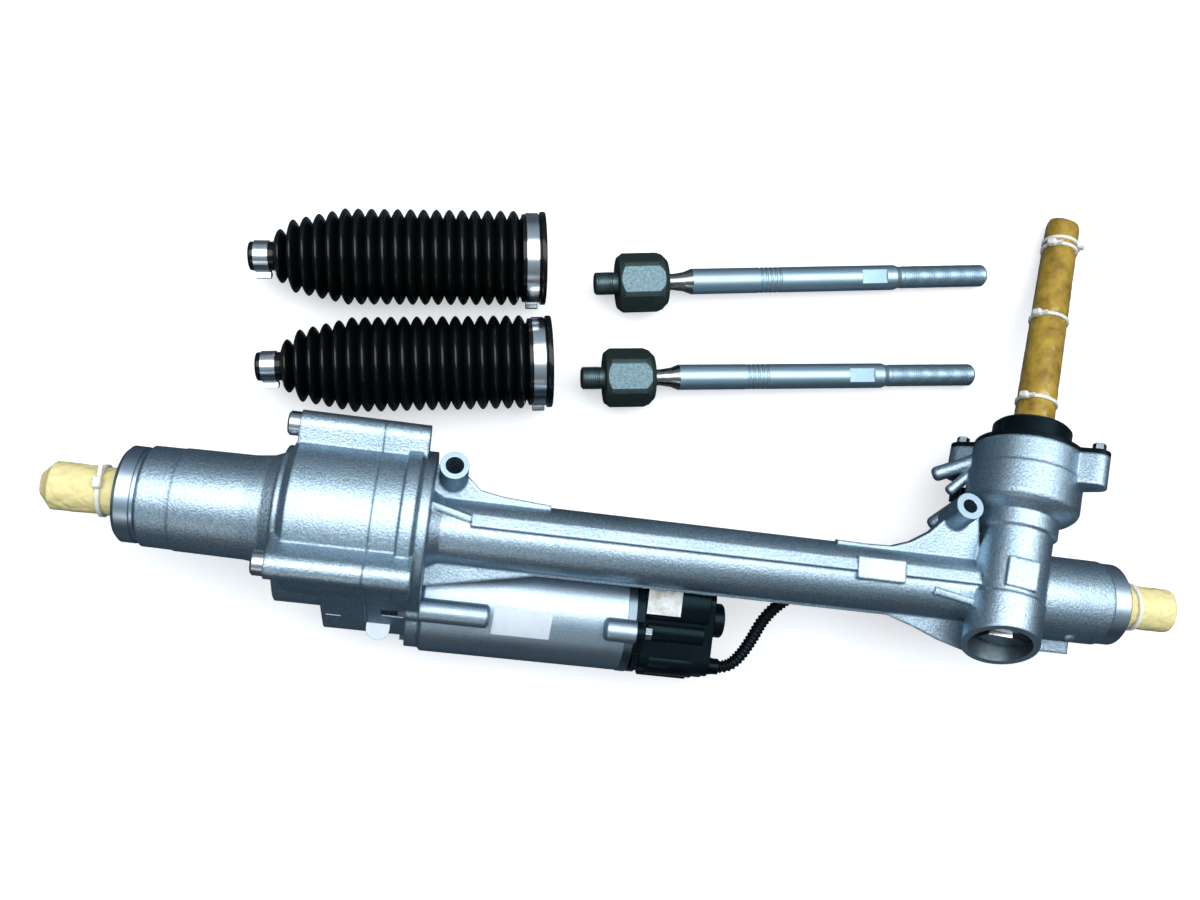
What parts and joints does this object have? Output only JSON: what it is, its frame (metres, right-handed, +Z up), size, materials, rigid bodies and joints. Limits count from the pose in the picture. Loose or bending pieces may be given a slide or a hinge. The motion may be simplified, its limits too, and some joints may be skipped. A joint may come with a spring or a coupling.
{
  "type": "steering rack",
  "caption": "Belt-driven electric steering rack with wrapped shaft ends, laid out with its bellows and inner tie rods.",
  "frame": {"origin": "on the bench, under the middle of the whole layout", "axes": "+X along the rack bar towards the pinion end, +Z up from the bench"},
  "size_m": [0.7804, 0.3826, 0.1425],
  "materials": {
    "cast_alloy": "shot-blasted casting",
    "zinc_steel": "zinc plated",
    "bearing_steel": "ground",
    "rack_steel": "ground and hardened",
    "rod_steel": "silver coated",
    "socket_steel": "dark phosphate",
    "black_plastic": "moulded",
    "natural_plastic": "moulded",
    "bearing_plastic": "moulded",
    "boot_rubber": "moulded, slight sheen",
    "belt_rubber": "toothed belt",
    "circuit_green": "solder mask",
    "copper_wire": "enamelled wire",
    "lamination_steel": "stacked sheet",
    "rack_paper": "waxed anti-rust paper",
    "amber_film": "clear amber film"
  },
  "bodies": {
    "housing": {"left_housing": "cast_alloy", "rack_housing": "cast_alloy", "housing_screws": "zinc_steel", "nut_bearing_lock_ring": "zinc_steel", "drive_belt": "belt_rubber", "motor_housing": "cast_alloy", "motor_bearings": "bearing_steel", "motor_screws": "zinc_steel", "control_unit_plate": "cast_alloy", "control_unit_cover": "black_plastic", "control_unit_board": "circuit_green", "control_unit_screws": "zinc_steel", "power_connector": "black_plastic", "sensor_plug": "black_plastic", "sensor_cable": "black_plastic", "sensor_connector": "black_plastic", "pinion_lower_bearing": "bearing_steel", "pinion_upper_bearing": "bearing_steel", "pinion_end_plug": "zinc_steel", "input_bearing": "bearing_steel", "input_seal": "boot_rubber", "torque_sensor": "black_plastic", "sensor_cover": "black_plastic", "cover_screws": "zinc_steel", "yoke": "cast_alloy", "yoke_spring": "zinc_steel", "yoke_plug": "zinc_steel", "nut_bearing_outer_race": "bearing_steel", "stator_core": "lamination_steel", "stator_windings": "copper_wire", "left_bellows": "boot_rubber", "left_bellows_large_clamp": "zinc_steel", "left_bellows_small_clamp": "zinc_steel", "left_tie_rod_socket": "socket_steel", "left_ball_seat": "bearing_plastic", "right_bellows": "boot_rubber", "right_bellows_large_clamp": "zinc_steel", "right_bellows_small_clamp": "zinc_steel", "right_tie_rod_socket": "socket_steel", "right_ball_seat": "bearing_plastic"},
    "rack": {"rack_bar": "rack_steel", "rack_wrap_left": "rack_paper", "rack_wrap_right": "rack_paper", "rack_wrap_ties": "natural_plastic"},
    "ball_nut": {"ball_nut": "bearing_steel", "nut_pulley": "zinc_steel", "nut_bearing_inner_race": "bearing_steel", "nut_bearing_balls": "bearing_steel"},
    "motor_rotor": {"motor_shaft": "rack_steel", "motor_rotor": "lamination_steel", "motor_pulley": "zinc_steel"},
    "pinion": {"pinion_shaft": "rack_steel", "torsion_bar": "rack_steel", "sensor_flux_ring": "lamination_steel"},
    "input_shaft": {"input_shaft": "rack_steel", "shaft_wrap": "amber_film", "shaft_ties": "natural_plastic", "sensor_magnet_ring": "lamination_steel"},
    "left_tie_rod": {"left_tie_rod": "rod_steel"},
    "right_tie_rod": {"right_tie_rod": "rod_steel"}
  },
  "joints": [
    {"name": "nut_spin", "type": "hinge", "parent": "housing", "child": "ball_nut", "pos_m": [-0.23475, -0.09914, 0.08], "axis": [1, 0, 0], "range_deg": [-3497.14, 3497.14]},
    {"name": "rack_travel", "type": "slide", "parent": "housing", "child": "rack", "axis": [1, 0, 0], "range_m": [-0.06814, 0.06814]},
    {"name": "motor_spin", "type": "hinge", "parent": "housing", "child": "motor_rotor", "pos_m": [-0.14575, -0.15114, 0.0385], "axis": [1, 0, 0], "range_deg": [-8322.33, 8322.33]},
    {"name": "pinion_spin", "type": "hinge", "parent": "housing", "child": "pinion", "pos_m": [0.25725, -0.09379, 0.09729], "axis": [0.184, 0.939, -0.2907], "range_deg": [-436.06, 436.06]},
    {"name": "input_twist", "type": "hinge", "parent": "pinion", "child": "input_shaft", "pos_m": [0.25725, -0.09379, 0.09729], "axis": [0.184, 0.939, -0.2907], "range_deg": [-4, 4], "stiffness_Nm_per_rad": 115},
    {"name": "left_ball_joint", "type": "hinge", "parent": "housing", "child": "left_tie_rod", "pos_m": [-0.01304, 0.09406, 0.0198], "axis": [0.1668, -0.986, 0], "range_deg": [-20, 20]},
    {"name": "right_ball_joint", "type": "hinge", "parent": "housing", "child": "right_tie_rod", "pos_m": [-0.01396, 0.02282, 0.0198], "axis": [0.1409, -0.99, 0], "range_deg": [-20, 20]}
  ],
  "couplings": [
    {"joint": "rack_travel", "follows": "nut_spin", "m_per_rad": 0.0011141},
    {"joint": "motor_spin", "follows": "nut_spin", "ratio": 2.375},
    {"joint": "pinion_spin", "follows": "nut_spin", "ratio": -0.12444}
  ]
}
